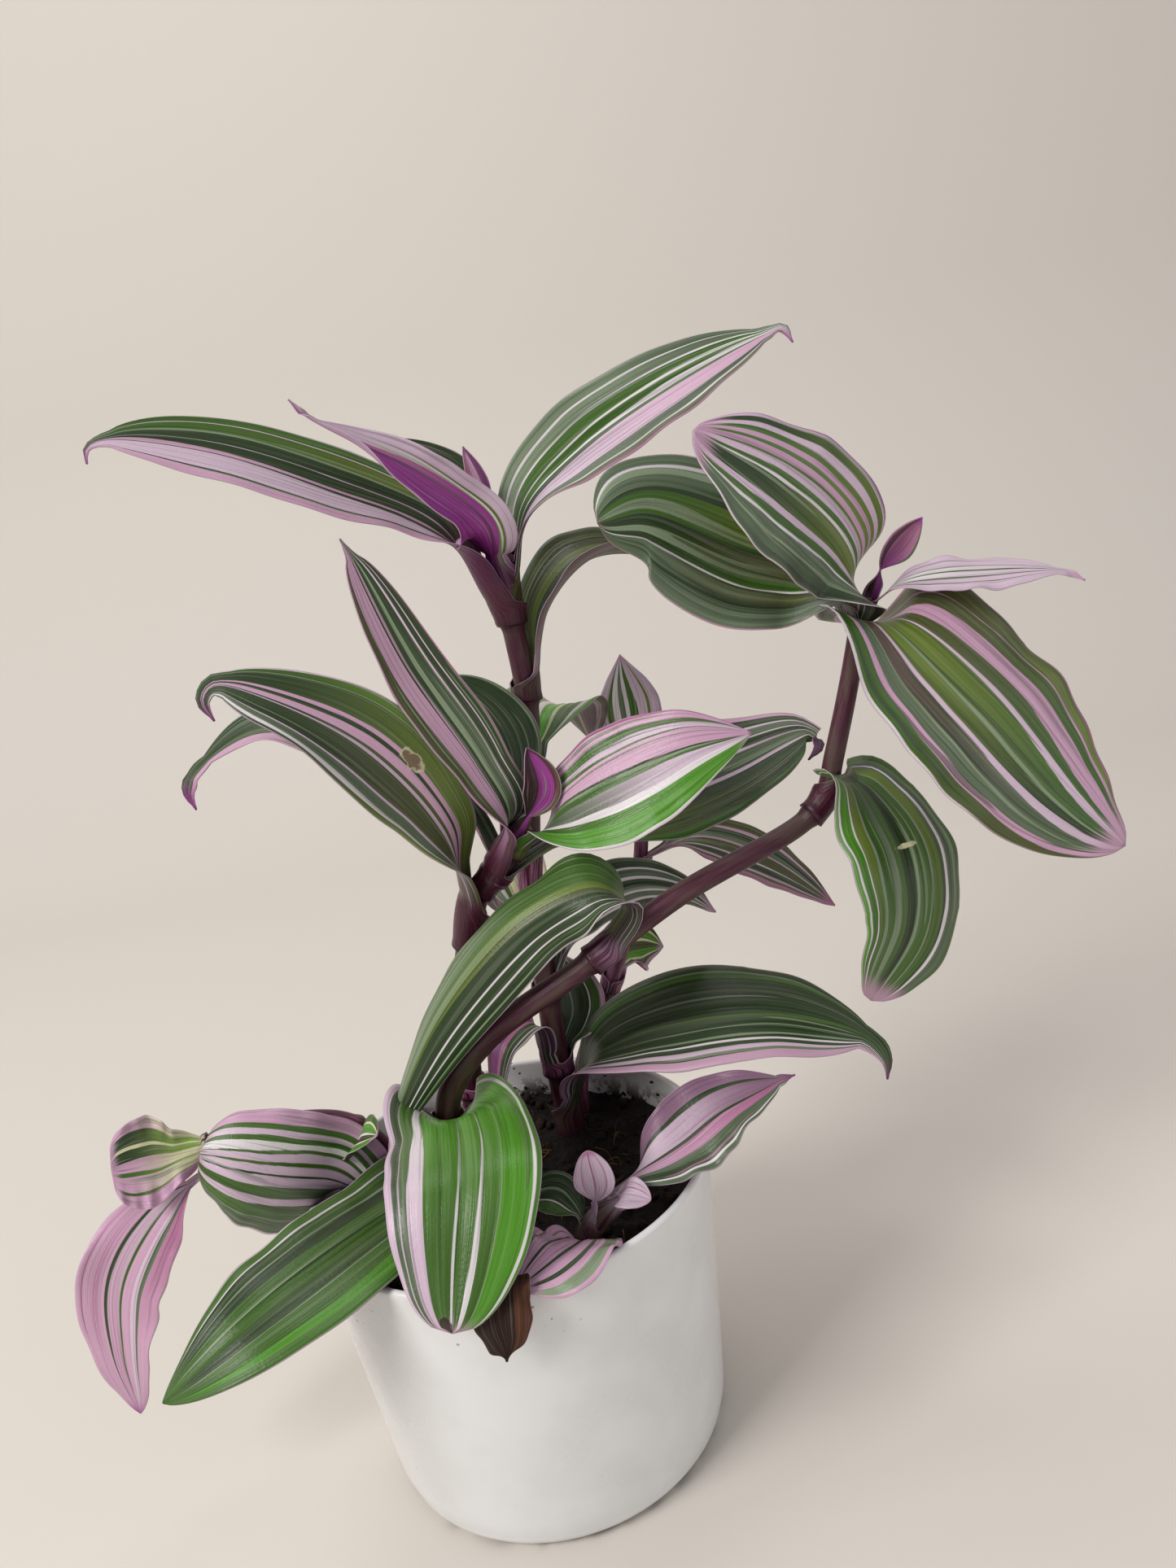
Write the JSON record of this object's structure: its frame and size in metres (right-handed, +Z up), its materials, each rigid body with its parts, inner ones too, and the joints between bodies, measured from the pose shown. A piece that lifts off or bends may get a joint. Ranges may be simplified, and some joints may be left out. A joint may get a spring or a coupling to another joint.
{
  "type": "potted tradescantia",
  "caption": "House plant with arching stems and long pointed leaves striped in green, white and pink, growing from dark soil in a plain white tapered cup",
  "frame": {"origin": "centre of the underside of the pot", "axes": "+Z up, +X to the right and -Y towards someone who faces the front of the plant"},
  "size_m": [0.2152, 0.1082, 0.2197],
  "materials": {
    "pot": "smooth white moulded plastic",
    "soil": "damp crumbly potting mix",
    "stem": "smooth dark purple stem",
    "runner": "smooth magenta stem",
    "leaf": "satin green leaf with white and pink stripes",
    "pink_leaf": "satin pink leaf with green stripes",
    "young_leaf": "satin magenta young leaf",
    "dead_leaf": "dry brown leaf"
  },
  "bodies": {
    "root": {"pot": "pot", "soil": "soil", "stem_a": "stem", "stem_b": "stem", "stem_c": "stem", "stem_d": "runner", "stem_g": "runner", "stem_k": "runner", "stem_s": "runner", "leaf_a1": "leaf", "leaf_a2": "leaf", "leaf_a3": "leaf", "leaf_a4": "leaf", "leaf_a5": "leaf", "leaf_a6": "leaf", "leaf_a7": "leaf", "leaf_a8": "leaf", "leaf_a9": "young_leaf", "leaf_e1": "leaf", "leaf_h2": "leaf", "leaf_h3": "leaf", "leaf_b1": "leaf", "leaf_b2": "leaf", "leaf_b3": "leaf", "leaf_b4": "leaf", "leaf_b5": "leaf", "leaf_b6": "leaf", "leaf_b7": "young_leaf", "leaf_h1": "leaf", "leaf_c1": "leaf", "leaf_c2": "leaf", "leaf_c3": "leaf", "leaf_c4": "leaf", "leaf_c5": "leaf", "leaf_c6": "leaf", "leaf_c7": "young_leaf", "leaf_d1": "leaf", "leaf_d2": "leaf", "leaf_d4": "leaf", "leaf_f": "leaf", "leaf_g3": "leaf", "leaf_g1": "leaf", "leaf_g2": "pink_leaf", "leaf_g5": "pink_leaf", "leaf_g4": "leaf", "leaf_s1": "pink_leaf", "leaf_s2": "pink_leaf", "leaf_s3": "pink_leaf", "leaf_s4": "leaf", "leaf_s5": "pink_leaf", "leaf_dead": "dead_leaf"}
  },
  "joints": []
}
